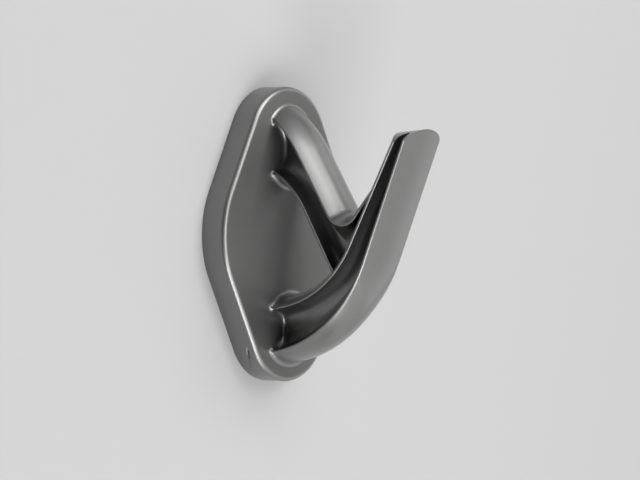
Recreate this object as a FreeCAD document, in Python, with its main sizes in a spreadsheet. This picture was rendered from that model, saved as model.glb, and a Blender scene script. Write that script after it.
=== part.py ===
import FreeCAD, Part
import math
import os
import Sketcher

# A cast wall hook. A rounded back plate carries a hook arm, and a brace runs from the top of
# the plate down to the arm, so that the two make a V seat. The arm and the brace are each a
# pair of crowned ribbons, back to back over a web, with a C-shaped groove along each side.
# Millimetres. X runs along the wall, -Y stands out of the wall, Z is up, and the origin is
# the middle of the plate's back face. "Out" is the distance from the wall.

doc = FreeCAD.newDocument("wall_hook")
vec = FreeCAD.Vector

# Driving dimensions
sizes = {
    # back plate
    "plate_height": 76.0,
    "plate_width": 51.0,
    "plate_thickness": 7.4,
    "plate_end_radius": 15.1,
    "plate_side_radius": 24.9,
    "plate_edge_round": 1.3,
    # adhesive pad in the back of the plate
    "pad_rim": 3.0,
    "pad_depth": 1.0,
    "pad_clearance": 0.3,
    # section that all four ribbons share
    "crown_radius": 10.2,
    "flange_round": 0.35,
    "groove_radius": 4.35,
    "web_depth": 4.8,
    # ribbons of the hook arm
    "arm_width": 14.6,
    "arm_web": 4.2,
    "root_start_out": 3.4,
    "outer_root_height": -31.0,
    "outer_knee_out": 29.55,
    "outer_knee_rise": 5.6,
    "outer_bend": 39.0,
    "outer_tip_out": 52.9,
    "inner_root_height": -19.85,
    "inner_knee_out": 26.15,
    "inner_knee_rise": 4.65,
    "inner_bend": 31.0,
    "inner_tip_out": 50.55,
    "blank_top": 30.0,
    # ribbons of the brace
    "brace_width": 13.5,
    "brace_web": 3.4,
    "upper_root_height": 32.7,
    "upper_knee_out": 11.7,
    "upper_knee_drop": 5.9,
    "upper_bend": 34.0,
    "seat_out": 29.3,
    "seat_height": -0.85,
    "seat_bend": 5.3,
    "seat_end_height": 12.7,
    "lower_root_height": 17.75,
    "lower_knee_out": 13.3,
    "lower_knee_drop": 3.85,
    "lower_bend": 25.0,
    "lower_end_height": -9.85,
    # rounded tip
    "tip_height": 25.45,
    "tip_arch": 14.0,
    "tip_corner": 3.6,
    "tip_margin": 0.3,
    "tip_slope": 3.4,
    "tip_cut_out": 36.0,
    # fillets where the arm and the brace leave the plate
    "arm_root_round": 1.3,
    "brace_root_round": 1.0,
}
sheet = doc.addObject("Spreadsheet::Sheet", "sizes")
for row, (name, value) in enumerate(sizes.items(), start=1):
    sheet.set("A%d" % row, name)
    sheet.set("B%d" % row, str(value))
    sheet.setAlias("B%d" % row, name)
doc.recompute()


def size(name):
    return float(sheet.get(name))


def sketchOn(body, name, role, offset=None):
    """A sketch flat on one of the body's own origin planes."""
    sketch = body.newObject("Sketcher::SketchObject", name)
    plane = [item for item in body.Origin.OriginFeatures if item.Role == role][0]
    sketch.AttachmentSupport = [(plane, "")]
    sketch.MapMode = "FlatFace"
    if offset:
        sketch.AttachmentOffset = offset
    return sketch


def rule(sketch, kind, *where):
    sketch.addConstraint(Sketcher.Constraint(kind, *where))


def drive(sketch, name, expression, kind, *where):
    """A named dimension of the sketch, tied to the sheet."""
    index = sketch.addConstraint(Sketcher.Constraint(kind, *where))
    sketch.renameConstraint(index, name)
    sketch.setExpression("Constraints." + name, expression)


def line(sketch, start, finish):
    return sketch.addGeometry(Part.LineSegment(start, finish), False)


def arc(sketch, centre, start, finish):
    """Counter-clockwise arc about a centre."""
    spoke = start - centre
    first = math.atan2(spoke.y, spoke.x)
    reach = finish - centre
    last = math.atan2(reach.y, reach.x)
    circle = Part.Circle(centre, vec(0, 0, 1), spoke.Length)
    return sketch.addGeometry(Part.ArcOfCircle(circle, first, last), False)


def tangentLoop(sketch, pieces):
    for piece, following in zip(pieces, pieces[1:] + pieces[:1]):
        rule(sketch, "Tangent", piece, 2, following, 1)


def plateOutline(sketch, inset, inset_text):
    """Rounded rhombus: an arc at each end and each side, joined by tangent flanks."""
    end = size("plate_end_radius") - inset
    side = size("plate_side_radius") - inset
    end_centre = size("plate_height") / 2 - size("plate_end_radius")
    side_centre = size("plate_width") / 2 - size("plate_side_radius")
    # slope of the flank's normal
    spread = math.hypot(side_centre, end_centre)
    tilt = math.acos((end - side) / spread) - math.atan2(end_centre, side_centre)

    def onSide(way_x, way_z):
        normal = vec(way_x * math.cos(tilt), way_z * math.sin(tilt), 0)
        return vec(way_x * side_centre, 0, 0) + normal * side

    def onEnd(way_x, way_z):
        normal = vec(way_x * math.cos(tilt), way_z * math.sin(tilt), 0)
        return vec(0, way_z * end_centre, 0) + normal * end

    right = arc(sketch, vec(side_centre, 0, 0), onSide(1, -1), onSide(1, 1))
    flank_a = line(sketch, onSide(1, 1), onEnd(1, 1))
    top = arc(sketch, vec(0, end_centre, 0), onEnd(1, 1), onEnd(-1, 1))
    flank_b = line(sketch, onEnd(-1, 1), onSide(-1, 1))
    left = arc(sketch, vec(-side_centre, 0, 0), onSide(-1, 1), onSide(-1, -1))
    flank_c = line(sketch, onSide(-1, -1), onEnd(-1, -1))
    bottom = arc(sketch, vec(0, -end_centre, 0), onEnd(-1, -1), onEnd(1, -1))
    flank_d = line(sketch, onEnd(1, -1), onSide(1, -1))
    tangentLoop(sketch, [right, flank_a, top, flank_b, left, flank_c, bottom, flank_d])
    rule(sketch, "PointOnObject", right, 3, -1)
    rule(sketch, "PointOnObject", top, 3, -2)
    rule(sketch, "Symmetric", right, 3, left, 3, -1, 1)
    rule(sketch, "Symmetric", top, 3, bottom, 3, -1, 1)
    rule(sketch, "Equal", right, left)
    rule(sketch, "Equal", top, bottom)
    drive(sketch, "side_radius", "<<sizes>>.plate_side_radius" + inset_text, "Radius", right, side)
    drive(sketch, "end_radius", "<<sizes>>.plate_end_radius" + inset_text, "Radius", top, end)
    drive(sketch, "side_centre", "<<sizes>>.plate_width / 2 - <<sizes>>.plate_side_radius",
          "DistanceX", -1, 1, right, 3, side_centre)
    drive(sketch, "end_centre", "<<sizes>>.plate_height / 2 - <<sizes>>.plate_end_radius",
          "DistanceY", -1, 1, top, 3, end_centre)


def drawRoute(sketch, label, stations, bends, lands_on=None):
    """Side view of a ribbon's edges: straight runs joined by tangent arcs.

    stations gives the distance out and the height, as words of the sheet, of both ends and of
    the corners between them. A route that lands on another one takes only its last height
    from the sheet. Gives back its two loose ends.
    """
    places = []
    for out, height in stations:
        level = sum(sign * size(word) for sign, word in height)
        if out:
            places.append(vec(-size(out), level, 0))
        else:
            across = Part.makeLine(vec(0, 0, level), vec(0, -2 * size("outer_tip_out"), level))
            landing = lands_on[0].Shape.getElement(lands_on[1])
            meeting = landing.distToShape(across)[1][0][0]
            places.append(vec(meeting.y, meeting.z, 0))
    pieces = []
    ends = []
    start = places[0]
    for before, corner, after, bend in zip(places, places[1:], places[2:], bends):
        back = (before - corner).normalize()
        ahead = (after - corner).normalize()
        half = back.getAngle(ahead) / 2
        radius = size(bend)
        first = corner + back * (radius / math.tan(half))
        last = corner + ahead * (radius / math.tan(half))
        centre = corner + (back + ahead).normalize() * (radius / math.sin(half))
        turns_left = back.cross(ahead).z < 0
        pieces.append(line(sketch, start, first))
        ends.append((1, 2))
        if turns_left:
            pieces.append(arc(sketch, centre, first, last))
            ends.append((1, 2))
        else:
            pieces.append(arc(sketch, centre, last, first))
            ends.append((2, 1))
        start = last
    pieces.append(line(sketch, start, places[-1]))
    ends.append((1, 2))
    for index in range(len(pieces) - 1):
        rule(sketch, "Tangent", pieces[index], ends[index][1], pieces[index + 1], ends[index + 1][0])
    for index, bend in enumerate(bends):
        drive(sketch, "%s_bend_%d" % (label, index), "<<sizes>>." + bend,
              "Radius", pieces[2 * index + 1], size(bend))
    spots = [pieces[0]]
    for index, corner in enumerate(places[1:-1]):
        spot = sketch.addGeometry(Part.Point(corner), True)
        rule(sketch, "PointOnObject", spot, 1, pieces[2 * index])
        rule(sketch, "PointOnObject", spot, 1, pieces[2 * index + 2])
        spots.append(spot)
    spots.append(pieces[-1])
    for index, (out, height) in enumerate(stations):
        end = 2 if index == len(stations) - 1 else 1
        place = places[index]
        if out:
            drive(sketch, "%s_out_%d" % (label, index), "-<<sizes>>." + out,
                  "DistanceX", -1, 1, spots[index], end, place.x)
        else:
            landing_line = -3 - len(sketch.ExternalGeometry)
            sketch.addExternal(lands_on[0].Name, lands_on[1])
            rule(sketch, "PointOnObject", spots[index], end, landing_line)
        level = " ".join("%s <<sizes>>.%s" % ("+" if sign > 0 else "-", word) for sign, word in height)
        drive(sketch, "%s_height_%d" % (label, index), level,
              "DistanceY", -1, 1, spots[index], end, place.y)
    return (pieces[0], 1, places[0]), (pieces[-1], 2, places[-1])


def routeSketch(body, name, route):
    sketch = sketchOn(body, name, "YZ_Plane")
    drawRoute(sketch, "route", *route)
    doc.recompute()
    return sketch


def webBetween(body, name, over, under, thickness):
    """Flat web that fills the side view between two routes, on both sides of the middle."""
    sketch = sketchOn(body, name + "_outline", "YZ_Plane")
    over_ends = drawRoute(sketch, "over", *over)
    under_ends = drawRoute(sketch, "under", *under)
    for here, there in zip(over_ends, under_ends):
        closing = line(sketch, here[2], there[2])
        rule(sketch, "Coincident", closing, 1, here[0], here[1])
        rule(sketch, "Coincident", closing, 2, there[0], there[1])
    doc.recompute()
    web = body.newObject("PartDesign::Pad", name)
    web.Profile = sketch
    web.Midplane = True
    web.setExpression("Length", "<<sizes>>." + thickness)
    doc.recompute()
    return web


def ribbonSection(body, name, route, crown_side, width, web):
    """Crowned face, rounded flange edges, and hollowed flanks down to the web.

    The middles of the flange edges lie on the route. crown_side is 1 above it, -1 below.
    """
    half_edge = size(width) / 2 - size("flange_round")
    half_web = size(web) / 2
    crown = size("crown_radius")
    edge = size("flange_round")
    groove = size("groove_radius")
    depth = size("web_depth")
    crown_drop = math.sqrt((crown - edge) ** 2 - half_edge ** 2)
    groove_centre = half_web + groove
    groove_drop = math.sqrt((groove + edge) ** 2 - (half_edge - groove_centre) ** 2)

    start = route.Shape.Edges[0].Vertexes[0].Point
    heading = route.Shape.Edges[0].Vertexes[1].Point - start
    rise = math.degrees(math.atan2(heading.z, -heading.y))
    turn = FreeCAD.Rotation(vec(1, 0, 0), -rise)
    sketch = sketchOn(body, name, "XZ_Plane", FreeCAD.Placement(vec(0, start.z, -start.y), turn))

    up = crown_side

    def spot(side, across, above):
        return vec(side * across, up * above, 0)

    crown_centre = spot(1, 0, -crown_drop)
    crown_end = crown / (crown - edge)
    groove_end = edge / (groove + edge)

    def shoulder(side):
        return crown_centre + (spot(side, half_edge, 0) - crown_centre) * crown_end

    def lip(side):
        toward = spot(side, groove_centre, -groove_drop) - spot(side, half_edge, 0)
        return spot(side, half_edge, 0) + toward * groove_end

    def swing(centre, start_point, finish_point, forward):
        """Arc with its end numbers, in the order of travel."""
        if forward:
            return arc(sketch, centre, start_point, finish_point), 1, 2
        return arc(sketch, centre, finish_point, start_point), 2, 1

    # travel: over the crown from left to right, down the right side, back up the left side
    with_clock = up < 0
    right_web_top = spot(1, half_web, -groove_drop)
    left_web_top = spot(-1, half_web, -groove_drop)
    crown_arc = swing(crown_centre, shoulder(-1), shoulder(1), with_clock)
    right_edge = swing(spot(1, half_edge, 0), shoulder(1), lip(1), with_clock)
    right_groove = swing(spot(1, groove_centre, -groove_drop), lip(1), right_web_top, not with_clock)
    right_flank = (line(sketch, right_web_top, spot(1, half_web, -depth)), 1, 2)
    foot = (line(sketch, spot(1, half_web, -depth), spot(-1, half_web, -depth)), 1, 2)
    left_flank = (line(sketch, spot(-1, half_web, -depth), left_web_top), 1, 2)
    left_groove = swing(spot(-1, groove_centre, -groove_drop), left_web_top, lip(-1), not with_clock)
    left_edge = swing(spot(-1, half_edge, 0), lip(-1), shoulder(-1), with_clock)
    chain = [crown_arc, right_edge, right_groove, right_flank, foot, left_flank, left_groove, left_edge]
    for here, there in zip(chain, chain[1:] + chain[:1]):
        kind = "Coincident" if foot in (here, there) else "Tangent"
        rule(sketch, kind, here[0], here[2], there[0], there[1])
    rule(sketch, "Vertical", right_flank[0])
    rule(sketch, "Vertical", left_flank[0])
    rule(sketch, "Symmetric", foot[0], 1, foot[0], 2, -2)
    rule(sketch, "Symmetric", left_edge[0], 3, right_edge[0], 3, -2)
    rule(sketch, "PointOnObject", right_edge[0], 3, -1)
    rule(sketch, "Equal", right_edge[0], left_edge[0])
    rule(sketch, "Equal", right_groove[0], left_groove[0])
    drive(sketch, "crown", "<<sizes>>.crown_radius", "Radius", crown_arc[0], crown)
    drive(sketch, "edge", "<<sizes>>.flange_round", "Radius", right_edge[0], edge)
    drive(sketch, "groove", "<<sizes>>.groove_radius", "Radius", right_groove[0], groove)
    drive(sketch, "edge_span", "<<sizes>>.%s - 2 * <<sizes>>.flange_round" % width,
          "DistanceX", left_edge[0], 3, right_edge[0], 3, 2 * half_edge)
    drive(sketch, "web", "<<sizes>>." + web, "DistanceX", foot[0], 2, foot[0], 1, 2 * half_web)
    upright = (foot[0], 1, -1, 1) if up > 0 else (-1, 1, foot[0], 1)
    drive(sketch, "depth", "<<sizes>>.web_depth", "DistanceY", *upright, depth)
    return sketch


def pipe(body, name, section, route):
    ribbon = body.newObject("PartDesign::AdditivePipe", name)
    ribbon.Profile = section
    ribbon.Spine = (route, ["Edge%d" % (index + 1) for index in range(len(route.Shape.Edges))])
    doc.recompute()
    return ribbon


# Back plate
hook = doc.addObject("PartDesign::Body", "hook_body")
hook.Label = "hook_body"
plate_sketch = sketchOn(hook, "plate_outline", "XZ_Plane")
plateOutline(plate_sketch, 0.0, "")
doc.recompute()
plate = hook.newObject("PartDesign::Pad", "plate")
plate.Profile = plate_sketch
plate.setExpression("Length", "<<sizes>>.plate_thickness")
doc.recompute()


def edgesAt(shape, out, wanted):
    """Names of the edges that lie flat at a distance from the wall and pass a test."""
    names = []
    for index, edge in enumerate(shape.Edges, start=1):
        box = edge.BoundBox
        if abs(box.YMin + out) < 1e-4 and abs(box.YMax + out) < 1e-4 and wanted(edge):
            names.append("Edge%d" % index)
    return names


front_round = hook.newObject("PartDesign::Fillet", "plate_front_round")
front_round.Base = (plate, edgesAt(plate.Shape, size("plate_thickness"), lambda edge: True))
front_round.setExpression("Radius", "<<sizes>>.plate_edge_round")
doc.recompute()

# Ribbons of the hook arm, crowned away from each other, and the web between them
outer_path = ([
    ("root_start_out", [(1, "outer_root_height")]),
    ("outer_knee_out", [(1, "outer_root_height"), (1, "outer_knee_rise")]),
    ("outer_tip_out", [(1, "blank_top")]),
], ["outer_bend"])
outer_route = routeSketch(hook, "outer_route", outer_path)
outer_section = ribbonSection(hook, "outer_section", outer_route, -1, "arm_width", "arm_web")
pipe(hook, "outer_ribbon", outer_section, outer_route)

inner_path = ([
    ("root_start_out", [(1, "inner_root_height")]),
    ("inner_knee_out", [(1, "inner_root_height"), (1, "inner_knee_rise")]),
    ("inner_tip_out", [(1, "blank_top")]),
], ["inner_bend"])
inner_route = routeSketch(hook, "inner_route", inner_path)
inner_section = ribbonSection(hook, "inner_section", inner_route, 1, "arm_width", "arm_web")
pipe(hook, "inner_ribbon", inner_section, inner_route)
webBetween(hook, "arm_web", inner_path, outer_path, "arm_web")

# Ribbons of the brace: the upper one turns through the V seat and lands on the arm's inner
# ribbon, and the lower one runs down to the same ribbon below the seat
upper_path = ([
    ("root_start_out", [(1, "upper_root_height")]),
    ("upper_knee_out", [(1, "upper_root_height"), (-1, "upper_knee_drop")]),
    ("seat_out", [(1, "seat_height")]),
    (None, [(1, "seat_end_height")]),
], ["upper_bend", "seat_bend"], (inner_route, "Edge3"))
upper_route = routeSketch(hook, "upper_route", upper_path)
upper_section = ribbonSection(hook, "upper_section", upper_route, 1, "brace_width", "brace_web")
pipe(hook, "upper_ribbon", upper_section, upper_route)

lower_path = ([
    ("root_start_out", [(1, "lower_root_height")]),
    ("lower_knee_out", [(1, "lower_root_height"), (-1, "lower_knee_drop")]),
    (None, [(1, "lower_end_height")]),
], ["lower_bend"], (inner_route, "Edge2"))
lower_route = routeSketch(hook, "lower_route", lower_path)
lower_section = ribbonSection(hook, "lower_section", lower_route, -1, "brace_width", "brace_web")
pipe(hook, "lower_ribbon", lower_section, lower_route)
brace_web = webBetween(hook, "brace_web", upper_path, lower_path, "brace_web")

# Fillets where the arm and the brace leave the plate
def leavesPlate(edge, above):
    box = edge.BoundBox
    inside = max(-box.XMin, box.XMax) < size("arm_width")
    return inside and edge.Length < size("plate_height") / 3 and (edge.CenterOfMass.z > 0) == above


def roundOff(body, name, base, edges, radius):
    fillet = body.newObject("PartDesign::Fillet", name)
    fillet.Base = (base, edges)
    fillet.setExpression("Radius", "<<sizes>>." + radius)
    doc.recompute()
    return fillet


plate_face = size("plate_thickness")
arm_foot = edgesAt(brace_web.Shape, plate_face, lambda edge: leavesPlate(edge, False))
arm_root = roundOff(hook, "arm_root_round", brace_web, arm_foot, "arm_root_round")
brace_foot = edgesAt(arm_root.Shape, plate_face, lambda edge: leavesPlate(edge, True))
brace_root = roundOff(hook, "brace_root_round", arm_root, brace_foot, "brace_root_round")


def tipOutline(sketch):
    """Frame round the hook, open inside to the arched tip with rounded corners."""
    half = size("arm_width") / 2 + size("tip_margin")
    top = size("tip_height")
    arch = size("tip_arch")
    corner = size("tip_corner")
    bottom = -size("plate_height") / 2 - size("tip_margin")
    arch_centre = vec(0, top - arch, 0)
    corner_out = half - corner
    corner_up = top - arch + math.sqrt((arch - corner) ** 2 - corner_out ** 2)
    bend = arch / (arch - corner)
    right_corner = vec(corner_out, corner_up, 0)
    left_corner = vec(-corner_out, corner_up, 0)
    right_join = arch_centre + (right_corner - arch_centre) * bend
    left_join = arch_centre + (left_corner - arch_centre) * bend
    right_side = line(sketch, vec(half, bottom, 0), vec(half, corner_up, 0))
    right_arc = arc(sketch, right_corner, vec(half, corner_up, 0), right_join)
    crest = arc(sketch, arch_centre, right_join, left_join)
    left_arc = arc(sketch, left_corner, left_join, vec(-half, corner_up, 0))
    left_side = line(sketch, vec(-half, corner_up, 0), vec(-half, bottom, 0))
    base = line(sketch, vec(-half, bottom, 0), vec(half, bottom, 0))
    loop = [right_side, right_arc, crest, left_arc, left_side, base]
    for piece, following in zip(loop, loop[1:] + loop[:1]):
        kind = "Coincident" if base in (piece, following) else "Tangent"
        rule(sketch, kind, piece, 2, following, 1)
    rule(sketch, "Vertical", right_side)
    rule(sketch, "Vertical", left_side)
    rule(sketch, "Symmetric", base, 1, base, 2, -2)
    rule(sketch, "Equal", right_arc, left_arc)
    drive(sketch, "half_width", "<<sizes>>.arm_width / 2 + <<sizes>>.tip_margin",
          "DistanceX", -1, 1, base, 2, half)
    drive(sketch, "arch", "<<sizes>>.tip_arch", "Radius", crest, arch)
    drive(sketch, "corner", "<<sizes>>.tip_corner", "Radius", right_arc, corner)
    drive(sketch, "arch_height", "<<sizes>>.tip_height - <<sizes>>.tip_arch",
          "DistanceY", -1, 1, crest, 3, top - arch)
    drive(sketch, "bottom", "<<sizes>>.plate_height / 2 + <<sizes>>.tip_margin",
          "DistanceY", base, 1, -1, 1, -bottom)
    frame_half = 2 * half
    corners = [vec(-frame_half, 2 * bottom, 0), vec(frame_half, 2 * bottom, 0),
               vec(frame_half, -2 * bottom, 0), vec(-frame_half, -2 * bottom, 0)]
    frame = [line(sketch, here, there) for here, there in zip(corners, corners[1:] + corners[:1])]
    for piece, following in zip(frame, frame[1:] + frame[:1]):
        rule(sketch, "Coincident", piece, 2, following, 1)
    for piece, kind in zip(frame, ["Horizontal", "Vertical", "Horizontal", "Vertical"]):
        rule(sketch, kind, piece)
    rule(sketch, "Symmetric", frame[0], 1, frame[1], 2, -1, 1)
    drive(sketch, "frame_half", "<<sizes>>.arm_width + 2 * <<sizes>>.tip_margin",
          "DistanceX", -1, 1, frame[0], 2, frame_half)
    drive(sketch, "frame_bottom", "<<sizes>>.plate_height + 2 * <<sizes>>.tip_margin",
          "DistanceY", frame[0], 1, -1, 1, -2 * bottom)


def cut(body, name, sketch, depth, reverse):
    """A pocket that must take something away."""
    before = body.Shape.Volume
    pocket = body.newObject("PartDesign::Pocket", name)
    pocket.Profile = sketch
    pocket.Reversed = reverse
    if depth:
        pocket.setExpression("Length", depth)
    else:
        pocket.Type = "ThroughAll"
    doc.recompute()
    if pocket.Shape.Volume > before - 1:
        raise RuntimeError(name + " cuts nothing")
    return pocket


tip_sketch = sketchOn(hook, "tip_outline", "XZ_Plane",
                      FreeCAD.Placement(vec(0, 0, size("tip_cut_out")),
                                        FreeCAD.Rotation(vec(1, 0, 0), -size("tip_slope"))))
tipOutline(tip_sketch)
doc.recompute()
tip = cut(hook, "tip", tip_sketch, None, True)

# Shallow recess for the adhesive pad in the plate's back
recess_sketch = sketchOn(hook, "recess_outline", "XZ_Plane")
plateOutline(recess_sketch, size("pad_rim"), " - <<sizes>>.pad_rim")
doc.recompute()
recess = cut(hook, "recess", recess_sketch, "<<sizes>>.pad_depth", True)

# Adhesive pad, flush with the wall
pad_body = doc.addObject("PartDesign::Body", "adhesive_pad")
pad_body.Label = "adhesive_pad"
pad_sketch = sketchOn(pad_body, "pad_outline", "XZ_Plane")
plateOutline(pad_sketch, size("pad_rim") + size("pad_clearance"),
             " - <<sizes>>.pad_rim - <<sizes>>.pad_clearance")
doc.recompute()
foam = pad_body.newObject("PartDesign::Pad", "foam")
foam.Profile = pad_sketch
foam.setExpression("Length", "<<sizes>>.pad_depth")
doc.recompute()

# Check everything before a solid is written
for item in doc.Objects:
    if "Invalid" in item.State or "Error" in item.State:
        raise RuntimeError(item.Name + " did not build")
parts = [hook, pad_body]
for body in parts:
    if body.Shape.isNull() or not body.Shape.isValid() or len(body.Shape.Solids) != 1:
        raise RuntimeError(body.Label + " is not one sound solid")
    print(body.Label, round(body.Shape.Volume, 1), len(body.Shape.Faces), body.Shape.BoundBox)

os.makedirs("parts", exist_ok=True)
for body in parts:
    body.Shape.exportStep("parts/" + body.Label + ".step")
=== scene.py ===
import math

import bmesh
import bpy
import numpy as np
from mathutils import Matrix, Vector
from mathutils.bvhtree import BVHTree


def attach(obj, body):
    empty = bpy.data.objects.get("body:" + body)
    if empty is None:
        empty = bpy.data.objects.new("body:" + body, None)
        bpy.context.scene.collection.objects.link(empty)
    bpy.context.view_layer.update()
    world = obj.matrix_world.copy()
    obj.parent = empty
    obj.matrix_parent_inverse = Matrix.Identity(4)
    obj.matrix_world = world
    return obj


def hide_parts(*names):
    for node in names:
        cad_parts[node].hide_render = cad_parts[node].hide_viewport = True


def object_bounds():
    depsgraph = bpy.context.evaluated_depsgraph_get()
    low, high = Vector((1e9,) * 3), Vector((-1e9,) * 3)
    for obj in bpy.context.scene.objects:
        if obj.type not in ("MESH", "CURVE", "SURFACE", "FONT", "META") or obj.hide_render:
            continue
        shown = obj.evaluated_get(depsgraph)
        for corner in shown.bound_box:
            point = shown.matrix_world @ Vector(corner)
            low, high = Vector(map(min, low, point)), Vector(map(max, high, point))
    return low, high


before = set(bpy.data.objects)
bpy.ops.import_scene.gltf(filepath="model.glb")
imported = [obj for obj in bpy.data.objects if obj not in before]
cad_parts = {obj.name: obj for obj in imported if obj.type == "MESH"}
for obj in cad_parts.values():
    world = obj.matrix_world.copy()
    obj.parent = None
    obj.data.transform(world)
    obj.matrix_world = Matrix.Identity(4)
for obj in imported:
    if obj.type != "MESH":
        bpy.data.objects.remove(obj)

cadLow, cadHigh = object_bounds()
scene = bpy.context.scene
print("frame loaded:", ", ".join(sorted(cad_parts)))


def newMaterial(name):
    material = bpy.data.materials.new(name)
    material.use_nodes = True
    tree = material.node_tree
    tree.nodes.clear()
    return material, tree


def addNode(tree, kind, **settings):
    node = tree.nodes.new(kind)
    for name, value in settings.items():
        setattr(node, name, value)
    return node


def plug(tree, source, target):
    tree.links.new(source, target)


def objectPlace(tree):
    return addNode(tree, "ShaderNodeTexCoord").outputs["Object"]


def noise(tree, place, size, detail):
    # size is metres across one patch
    node = addNode(tree, "ShaderNodeTexNoise")
    node.inputs["Scale"].default_value = 1 / size
    node.inputs["Detail"].default_value = detail
    plug(tree, place, node.inputs["Vector"])
    return node.outputs["Fac"]


def spread(tree, value, low, high):
    # turns a 0 to 1 value into low to high
    node = addNode(tree, "ShaderNodeMapRange")
    node.inputs["To Min"].default_value = low
    node.inputs["To Max"].default_value = high
    plug(tree, value, node.inputs["Value"])
    return node.outputs["Result"]


def blendColour(tree, amount, first, second):
    # first and second are colours, or sockets that carry one
    node = addNode(tree, "ShaderNodeMix", data_type="RGBA")
    for name, value in (("A", first), ("B", second)):
        if isinstance(value, tuple):
            node.inputs[name].default_value = (*value, 1)
        else:
            plug(tree, value, node.inputs[name])
    plug(tree, amount, node.inputs["Factor"])
    return node.outputs["Result"]


def vectorStep(tree, operation, first, second, scale=None):
    # first and second are vectors, sockets that carry one, or None for an input that isn't used
    node = addNode(tree, "ShaderNodeVectorMath", operation=operation)
    for index, value in enumerate((first, second)):
        if value is None:
            continue
        if isinstance(value, tuple):
            node.inputs[index].default_value = value
        else:
            plug(tree, value, node.inputs[index])
    if scale is not None:
        plug(tree, scale, node.inputs["Scale"])
    return node


def nearLine(tree, place, start, end, width, strength):
    # strength on the line from start to end, fading to nothing at half the width from it
    along = Vector(end) - Vector(start)
    scaledAlong = tuple(along / along.length_squared)
    fromStart = vectorStep(tree, "SUBTRACT", place, start).outputs["Vector"]
    reach = vectorStep(tree, "DOT_PRODUCT", fromStart, scaledAlong).outputs["Value"]
    held = addNode(tree, "ShaderNodeClamp")     # the foot stays between the line's ends
    plug(tree, reach, held.inputs["Value"])
    foot = vectorStep(tree, "SCALE", tuple(along), None, held.outputs["Result"]).outputs["Vector"]
    away = vectorStep(tree, "DISTANCE", fromStart, foot).outputs["Value"]
    fade = addNode(tree, "ShaderNodeMapRange", interpolation_type="SMOOTHSTEP")
    fade.inputs["From Max"].default_value = width / 2
    fade.inputs["To Min"].default_value = strength
    fade.inputs["To Max"].default_value = 0
    plug(tree, away, fade.inputs["Value"])
    return fade.outputs["Result"]


# satin cast metal, with a painted highlight and painted shade on the plate's side wall where its flanks
# meet the end arcs; sizes in metres
castMetal = {
    "colour": (0.145, 0.145, 0.143),
    "cloudColour": (0.132, 0.132, 0.13),
    "roughness": 0.55,
    "roughnessSwing": 0.03,
    "coat": 1.0,
    "coatRoughness": 0.28,
    "coatIor": 1.9,
    "cloudSize": 0.012,
    "cloudDetail": 3,
    "grainSize": 0.00035,
    "grainDetail": 2,
    "grainHeight": 0.000004,
    # painted shade: hollows get this dark colour and less coat, by how shut in they are
    "paintedShadeColour": (0.025, 0.025, 0.0245),
    "paintedShadeCoat": 0.15,
    "recessFrom": 0.3,      # share of the room shut off where the painted shade in the grooves starts
    "recessTo": 0.85,       # and where it is full
    "paintedCreaseHighlight": (0.5, 0.5, 0.49),
    "paintedCreaseShade": (0.02, 0.02, 0.02),
    # each mark: painted highlight or painted shade, start, end, width, strength
    "marks": [
        ("paintedCreaseHighlight", (-0.0139, -0.0049, -0.0288), (-0.0131, -0.0042, -0.0304), 0.0006, 1.0),
        ("paintedCreaseShade", (-0.0135, -0.0051, -0.0296), (-0.0124, -0.0045, -0.0314), 0.0009, 0.8),
        ("paintedCreaseShade", (-0.0124, -0.0045, -0.0314), (-0.0103, -0.0031, -0.0339), 0.0007, 0.5),
        ("paintedCreaseHighlight", (-0.0069, -0.0009, 0.0363), (-0.0070, -0.0040, 0.0363), 0.0012, 0.25),
    ],
}

# how deep a point lies in a groove: the share of short rays from it that meet the casting; it sets the
# painted shade in the grooves
shelter = {
    "name": "shelter",
    "rays": 24,
    "reach": 0.012,
    "lift": 0.00002,        # a ray starts this far off the surface
    "nearestOut": 0.0079,   # points nearer to the wall are on the plate and stay plain
}


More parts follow.
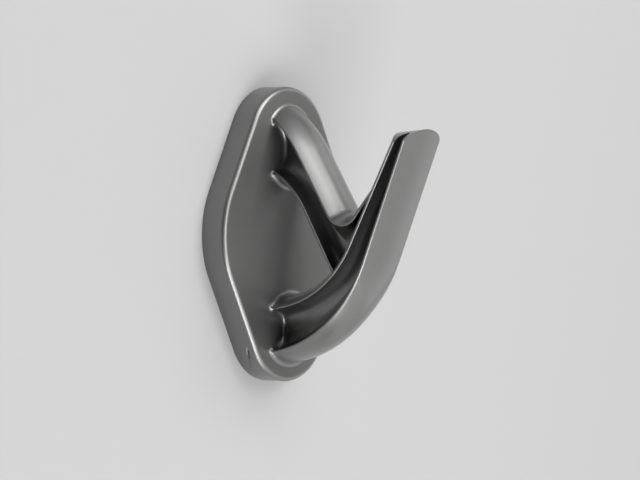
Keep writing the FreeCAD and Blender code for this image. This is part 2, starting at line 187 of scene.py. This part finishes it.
def makeCastMetal():
    material, tree = newMaterial("satinCastMetal")
    shader = addNode(tree, "ShaderNodeBsdfPrincipled")
    out = addNode(tree, "ShaderNodeOutputMaterial")
    plug(tree, shader.outputs["BSDF"], out.inputs["Surface"])
    shader.inputs["Metallic"].default_value = 1.0
    shader.inputs["Coat Roughness"].default_value = castMetal["coatRoughness"]
    shader.inputs["Coat IOR"].default_value = castMetal["coatIor"]
    place = objectPlace(tree)
    clouds = noise(tree, place, castMetal["cloudSize"], castMetal["cloudDetail"])
    colour = blendColour(tree, clouds, castMetal["cloudColour"], castMetal["colour"])
    # painted shade in the grooves: darker colour and thinner coat where the shelter is high
    sheltered = addNode(tree, "ShaderNodeAttribute", attribute_name=shelter["name"])
    deep = addNode(tree, "ShaderNodeMapRange", interpolation_type="SMOOTHSTEP")
    deep.inputs["From Min"].default_value = castMetal["recessFrom"]
    deep.inputs["From Max"].default_value = castMetal["recessTo"]
    plug(tree, sheltered.outputs["Fac"], deep.inputs["Value"])
    colour = blendColour(tree, deep.outputs["Result"], colour, castMetal["paintedShadeColour"])
    coat = spread(tree, deep.outputs["Result"], castMetal["coat"], castMetal["paintedShadeCoat"])
    # the marks paint highlight and shade where the side wall's flanks meet its end arcs
    for tone, start, end, width, strength in castMetal["marks"]:
        near = nearLine(tree, place, start, end, width, strength)
        colour = blendColour(tree, near, colour, castMetal[tone])
        if tone == "paintedCreaseShade":      # painted shade doesn't shine either
            dulled = addNode(tree, "ShaderNodeMath", operation="SUBTRACT", use_clamp=True)
            plug(tree, coat, dulled.inputs[0])
            plug(tree, near, dulled.inputs[1])
            coat = dulled.outputs[0]
    plug(tree, coat, shader.inputs["Coat Weight"])
    plug(tree, colour, shader.inputs["Base Color"])
    middle, swing = castMetal["roughness"], castMetal["roughnessSwing"]
    plug(tree, spread(tree, clouds, middle - swing, middle + swing), shader.inputs["Roughness"])
    grain = noise(tree, place, castMetal["grainSize"], castMetal["grainDetail"])
    bump = addNode(tree, "ShaderNodeBump")
    bump.inputs["Distance"].default_value = castMetal["grainHeight"]
    plug(tree, grain, bump.inputs["Height"])
    plug(tree, bump.outputs["Normal"], shader.inputs["Normal"])
    return material


# grey foam with small closed cells; sizes in metres
foamPad = {
    "colour": (0.55, 0.55, 0.53),
    "cellColour": (0.42, 0.42, 0.41),
    "cellSize": 0.0006,
    "cellHeight": 0.00008,
    "roughness": 0.85,
}


def makeFoam():
    material, tree = newMaterial("closedCellFoam")
    shader = addNode(tree, "ShaderNodeBsdfPrincipled")
    out = addNode(tree, "ShaderNodeOutputMaterial")
    plug(tree, shader.outputs["BSDF"], out.inputs["Surface"])
    shader.inputs["Roughness"].default_value = foamPad["roughness"]
    cells = addNode(tree, "ShaderNodeTexVoronoi")
    cells.inputs["Scale"].default_value = 1 / foamPad["cellSize"]
    plug(tree, objectPlace(tree), cells.inputs["Vector"])
    distance = cells.outputs["Distance"]
    colour = blendColour(tree, distance, foamPad["colour"], foamPad["cellColour"])
    plug(tree, colour, shader.inputs["Base Color"])
    bump = addNode(tree, "ShaderNodeBump")
    bump.inputs["Distance"].default_value = foamPad["cellHeight"]
    plug(tree, distance, bump.inputs["Height"])
    plug(tree, bump.outputs["Normal"], shader.inputs["Normal"])
    return material


def dress(mesh, material):
    mesh.materials.clear()
    mesh.materials.append(material)


dress(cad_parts["adhesive_pad"].data, makeFoam())
print("pad dressed")

# The hook is the cast solid, with the outer face of its arm growing nearly flat toward the tip.
# Root, knee and tip give the face's flanges from the side, as metres out from the wall and metres
# above the plate's middle.
outerFace = {
    "root": (0.0034, -0.031),
    "knee": (0.02955, -0.0254),
    "tip": (0.0529, 0.03),
    "bendRadius": 0.039,
    "crownRadius": 0.0102,
    "flatSagitta": 0.0008,      # height of the flattened face above the flanges
    "flattenFrom": 0.006,       # metres along the arm from the start of its bend
    "flattenTo": 0.045,
    "flangeMiddle": 0.00695,    # from the middle plane to the middle of a flange's rounding
    "flangeRound": 0.00035,
    "leastCrown": 0.000001,     # keeps a division from zero where the crown meets its flange
    "leastOut": 0.1,            # keeps a division from zero where the face looks up or down
    "normalStep": 0.000002,
    "nearAxis": 0.7,            # a normal whose share of X is under this takes X as its helper
}


def armLine():
    # a straight run from the root, one bend at the knee, a straight run to the tip
    root, knee, tip = (np.array(outerFace[name]) for name in ("root", "knee", "tip"))
    lowRun = (knee - root) / np.linalg.norm(knee - root)
    highRun = (tip - knee) / np.linalg.norm(tip - knee)
    turn = math.acos(float(lowRun @ highRun))
    radius = outerFace["bendRadius"]
    cut = radius * math.tan(turn / 2)
    outward = np.array((highRun[1], -highRun[0]))
    start = np.array((lowRun[1], -lowRun[0]))
    bendEnd = knee + highRun * cut
    return {
        "centre": bendEnd - outward * radius,
        "start": start,
        "turn": turn,
        "outward": outward,
        "highRun": highRun,
        "bendEnd": bendEnd,
    }


def crownOffset(radius):
    # from the flanges' middles down to the centre of the crown's circle
    return np.sqrt((radius - outerFace["flangeRound"]) ** 2 - outerFace["flangeMiddle"] ** 2)


def crownHeight(across, radius):
    # above the flanges' middles, at a distance across from the arm's middle plane
    return np.sqrt(np.maximum(radius ** 2 - across ** 2, 0)) - crownOffset(radius)


def crownRadiusFor(sagitta):
    # the circle of that sagitta over the flanges, which it meets smoothly
    half, edge = outerFace["flangeMiddle"], outerFace["flangeRound"]
    rise = sagitta - edge
    return (half ** 2 + rise ** 2) / (2 * rise) + edge


def armPlace(points, line):
    # distance along the arm and above its line, the outward direction, and the share of the bend passed
    place = np.stack((-points[:, 1], points[:, 2]), 1)
    spoke = place - line["centre"]
    reach = np.linalg.norm(spoke, axis=1)
    unit = spoke / reach[:, None]
    cross = line["start"][0] * unit[:, 1] - line["start"][1] * unit[:, 0]
    angle = np.arctan2(cross, unit @ line["start"])
    onBend = angle < line["turn"]
    radius = outerFace["bendRadius"]
    pastBend = place - line["bendEnd"]
    straightAlong = radius * line["turn"] + pastBend @ line["highRun"]
    along = np.where(onBend, radius * angle, straightAlong)
    above = np.where(onBend, reach - radius, pastBend @ line["outward"])
    normal = np.where(onBend[:, None], unit, line["outward"])
    bendShare = np.clip(angle / line["turn"], 0, 1)
    return along, above, normal, bendShare


def flattenArm(points, line):
    along, above, normal, bendShare = armPlace(points, line)
    start, end = outerFace["flattenFrom"], outerFace["flattenTo"]
    share = np.clip((along - start) / (end - start), 0, 1)
    share = share ** 2 * (3 - 2 * share)        # eases in and out
    fullRadius = outerFace["crownRadius"]
    fullSagitta = fullRadius - crownOffset(fullRadius)
    sagitta = fullSagitta + (outerFace["flatSagitta"] - fullSagitta) * share
    across = np.abs(points[:, 0])
    crown = crownHeight(across, fullRadius)
    drop = np.maximum(crown - crownHeight(across, crownRadiusFor(sagitta)), 0)
    # only the crown sinks, and a point inside it by its share of the height
    onFace = (along > start) & (above > 0) & (crown > 0)
    depthShare = np.clip(above / np.maximum(crown, outerFace["leastCrown"]), 0, 1)
    drop = np.where(onFace, drop * depthShare, 0)
    # early in the bend a point sinks square to the face, on the straight run it keeps its height
    level = bendShare ** 2
    outPart, upPart = normal[:, 0], normal[:, 1]
    levelShift = level * upPart ** 2 / np.maximum(outPart, outerFace["leastOut"])
    moved = points.copy()
    moved[:, 1] += drop * (outPart + levelShift)
    moved[:, 2] -= drop * upPart * (1 - level)
    return moved


def sideways(normals):
    # two directions square to each normal and to each other
    offAxis = np.abs(normals[:, :1]) < outerFace["nearAxis"]
    helper = np.where(offAxis, (1.0, 0.0, 0.0), (0.0, 1.0, 0.0))
    first = np.cross(normals, helper)
    first /= np.linalg.norm(first, axis=1)[:, None]
    return first, np.cross(normals, first)


def turnedNormals(points, normals, line):
    # two short steps along the surface are carried over, and the new normal stands square to both
    carried = []
    for side in sideways(normals):
        step = side * outerFace["normalStep"]
        carried.append(flattenArm(points + step, line) - flattenArm(points - step, line))
    turned = np.cross(*carried)
    return turned / np.linalg.norm(turned, axis=1)[:, None]


# the shelter stored here drives the painted shade in the grooves
def markShelter(mesh, points, corners, normals):
    # the rays spread over the half sphere above each point, denser toward its middle
    goldenTurn = math.pi * (3 - math.sqrt(5))
    normalAt = np.zeros_like(points)
    normalAt[corners] = normals
    casting = BVHTree.FromPolygons(points.tolist(), [tuple(face.vertices) for face in mesh.polygons])
    wanted = np.flatnonzero(points[:, 1] < -shelter["nearestOut"])
    normalAt, starts = normalAt[wanted], points[wanted]
    starts = starts + normalAt * shelter["lift"]
    first, second = sideways(normalAt)
    hits = np.zeros(len(wanted))
    for ray in range(shelter["rays"]):
        lean = math.sqrt((ray + 0.5) / shelter["rays"])
        rise = math.sqrt(1 - lean ** 2)
        turn = ray * goldenTurn
        aims = first * (lean * math.cos(turn)) + second * (lean * math.sin(turn)) + normalAt * rise
        for index, (start, aim) in enumerate(zip(starts.tolist(), aims.tolist())):
            if casting.ray_cast(start, aim, shelter["reach"])[0] is not None:
                hits[index] += 1
    values = np.zeros(len(points))
    values[wanted] = hits / shelter["rays"]
    mesh.attributes.new(shelter["name"], "FLOAT", "POINT").data.foreach_set("value", values)


def makeHook():
    line = armLine()
    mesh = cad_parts["hook_body"].data.copy()
    mesh.name = "hookCasting"
    points = np.empty(len(mesh.vertices) * 3)
    mesh.vertices.foreach_get("co", points)
    points = points.reshape(-1, 3)
    corners = np.empty(len(mesh.loops), dtype=int)
    mesh.loops.foreach_get("vertex_index", corners)
    normals = np.empty(len(mesh.loops) * 3)
    mesh.corner_normals.foreach_get("vector", normals)
    normals = turnedNormals(points[corners], normals.reshape(-1, 3), line)
    points = flattenArm(points, line)
    mesh.vertices.foreach_set("co", points.ravel())
    mesh.update()
    mesh.normals_split_custom_set(normals.tolist())
    markShelter(mesh, points, corners, normals)
    dress(mesh, makeCastMetal())
    piece = bpy.data.objects.new("hookCasting", mesh)
    scene.collection.objects.link(piece)
    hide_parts("hook_body")
    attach(piece, "root")


makeHook()
print("hook made")

# The wall behind the hook is clear only to the camera from behind. Its opening follows the plate's
# outline and is hidden by it, and lets the lamp behind reach the plate's back.
wall = {
    "halfWidth": 2.0,
    "gap": 0.00005,             # between the plate's back and the wall
    "colour": (0.358, 0.358, 0.358),
    "openingSides": 96,
    "openingMargin": 0.0008,    # how far the opening stays inside the plate's outline
    "plateEndRadius": 0.0151,
    "plateSideRadius": 0.0249,
    "swing": 80,                # degrees to either side that are searched for the outline
    "swingStep": 0.5,
}


def plateReach(angle):
    # from the plate's middle to its outline, which wraps two end circles and two side circles
    endRadius, sideRadius = wall["plateEndRadius"], wall["plateSideRadius"]
    swing = np.radians(np.arange(-wall["swing"], wall["swing"] + wall["swingStep"], wall["swingStep"]))
    facing = angle + swing
    ends = np.abs(np.sin(facing)) * (cadHigh[2] - endRadius) + endRadius
    sides = np.abs(np.cos(facing)) * (cadHigh[0] - sideRadius) + sideRadius
    return float(np.min(np.maximum(ends, sides) / np.cos(swing)))


def makePaleWall():
    material, tree = newMaterial("paleWall")
    paint = addNode(tree, "ShaderNodeBsdfDiffuse")
    paint.inputs["Color"].default_value = (*wall["colour"], 1)
    clear = addNode(tree, "ShaderNodeBsdfTransparent")
    side = addNode(tree, "ShaderNodeNewGeometry")
    ray = addNode(tree, "ShaderNodeLightPath")
    seenThrough = addNode(tree, "ShaderNodeMath", operation="MULTIPLY")
    plug(tree, side.outputs["Backfacing"], seenThrough.inputs[0])
    plug(tree, ray.outputs["Is Camera Ray"], seenThrough.inputs[1])
    mix = addNode(tree, "ShaderNodeMixShader")
    out = addNode(tree, "ShaderNodeOutputMaterial")
    plug(tree, seenThrough.outputs["Value"], mix.inputs["Fac"])
    plug(tree, paint.outputs["BSDF"], mix.inputs[1])
    plug(tree, clear.outputs["BSDF"], mix.inputs[2])
    plug(tree, mix.outputs["Shader"], out.inputs["Surface"])
    return material


def makeWall():
    mesh = bpy.data.meshes.new("wallFace")
    build = bmesh.new()
    sides = wall["openingSides"]
    inner, outer = [], []
    for step in range(sides):
        angle = 2 * math.pi * step / sides
        across, up = math.cos(angle), math.sin(angle)
        near = plateReach(angle) - wall["openingMargin"]
        far = wall["halfWidth"] / max(abs(across), abs(up))
        inner.append(build.verts.new((near * across, wall["gap"], near * up)))
        outer.append(build.verts.new((far * across, wall["gap"], far * up)))
    for step in range(sides):
        after = (step + 1) % sides
        build.faces.new((outer[step], outer[after], inner[after], inner[step]))    # facing the room
    build.to_mesh(mesh)
    build.free()
    dress(mesh, makePaleWall())
    piece = bpy.data.objects.new("wallFace", mesh)
    scene.collection.objects.link(piece)


makeWall()
print("wall built")

# Each lamp: azimuth (0 in front of the wall, positive to the right), elevation,
# width and height in metres, watts. All stand at one distance and face the hook.
lampDistance = 1.0
lamps = {
    "low left fill": (-30, -35, 0.5, 0.5, 6.0),
    "high right key": (20, 35, 0.5, 0.5, 5.0),
    "front low": (-5, -12, 0.5, 0.5, 3.5),
    "floor bounce": (-30, -60, 0.5, 0.5, 3.0),
    "high left": (-10, 47, 0.5, 0.5, 3.0),
    "front": (7, 12, 0.8, 0.5, 3.7),
    "low right": (32, -35, 0.8, 0.5, 1.0),
    "floor right": (55, -60, 0.8, 0.5, 1.0),
    "overhead": (15, 63, 1.2, 0.4, 0.8),
    "right window": (72, 0, 0.5, 1.8, 3.2),
    "behind": (180, 20, 0.5, 0.5, 4.0),
}
roomColour = (0.0, 0.0, 0.0)            # the room between the lamps gives no light
backdropColour = (0.65, 0.65, 0.65)     # what the camera sees past or through the wall


def direction(azimuth, elevation):
    turn, rise = math.radians(azimuth), math.radians(elevation)
    level = math.cos(rise)
    return Vector((math.sin(turn) * level, -math.cos(turn) * level, math.sin(rise)))


def makeLamps():
    for name, (azimuth, elevation, width, height, watts) in lamps.items():
        light = bpy.data.lights.new(name, "AREA")
        light.shape = "RECTANGLE"
        light.size = width
        light.size_y = height
        light.energy = watts
        lamp = bpy.data.objects.new(name, light)
        scene.collection.objects.link(lamp)
        toward = direction(azimuth, elevation)
        lamp.location = toward * lampDistance
        lamp.rotation_mode = "QUATERNION"
        lamp.rotation_quaternion = toward.to_track_quat("Z", "Y")


def makeRoom():
    world = bpy.data.worlds.new("room")
    world.use_nodes = True
    scene.world = world
    tree = world.node_tree
    tree.nodes.clear()
    ray = addNode(tree, "ShaderNodeLightPath")
    colour = blendColour(tree, ray.outputs["Is Camera Ray"], roomColour, backdropColour)
    glow = addNode(tree, "ShaderNodeBackground")
    plug(tree, colour, glow.inputs["Color"])
    out = addNode(tree, "ShaderNodeOutputWorld")
    plug(tree, glow.outputs["Background"], out.inputs["Surface"])


makeLamps()
makeRoom()
print("lamps:", len(lamps))

# The camera circles the plate's middle, then slides sideways and up. Angles in degrees, the sensor
# in millimetres, the lens in pixels of the image, the rest in metres.
camera = {
    "azimuth": -50.0,
    "elevation": 1.31,
    "focalPixels": 3000.0,
    "imageWidth": 640.0,
    "distance": 0.7776,
    "slideRight": -0.01344,
    "slideUp": 0.0016,
    "sensor": 36.0,
    "clipStart": 0.01,
    "clipEnd": 20.0,
}


def makeCamera():
    lens = bpy.data.cameras.new("camera")
    lens.sensor_width = camera["sensor"]
    lens.lens = camera["focalPixels"] * camera["sensor"] / camera["imageWidth"]
    lens.clip_start = camera["clipStart"]
    lens.clip_end = camera["clipEnd"]
    piece = bpy.data.objects.new("camera", lens)
    scene.collection.objects.link(piece)
    back = direction(camera["azimuth"], camera["elevation"])
    right = Vector((0, 0, 1)).cross(back).normalized()
    up = back.cross(right)
    piece.location = back * camera["distance"] - right * camera["slideRight"] - up * camera["slideUp"]
    piece.rotation_mode = "QUATERNION"
    piece.rotation_quaternion = back.to_track_quat("Z", "Y")
    scene.camera = piece


makeCamera()
scene.view_settings.view_transform = "Standard"
print("camera placed")
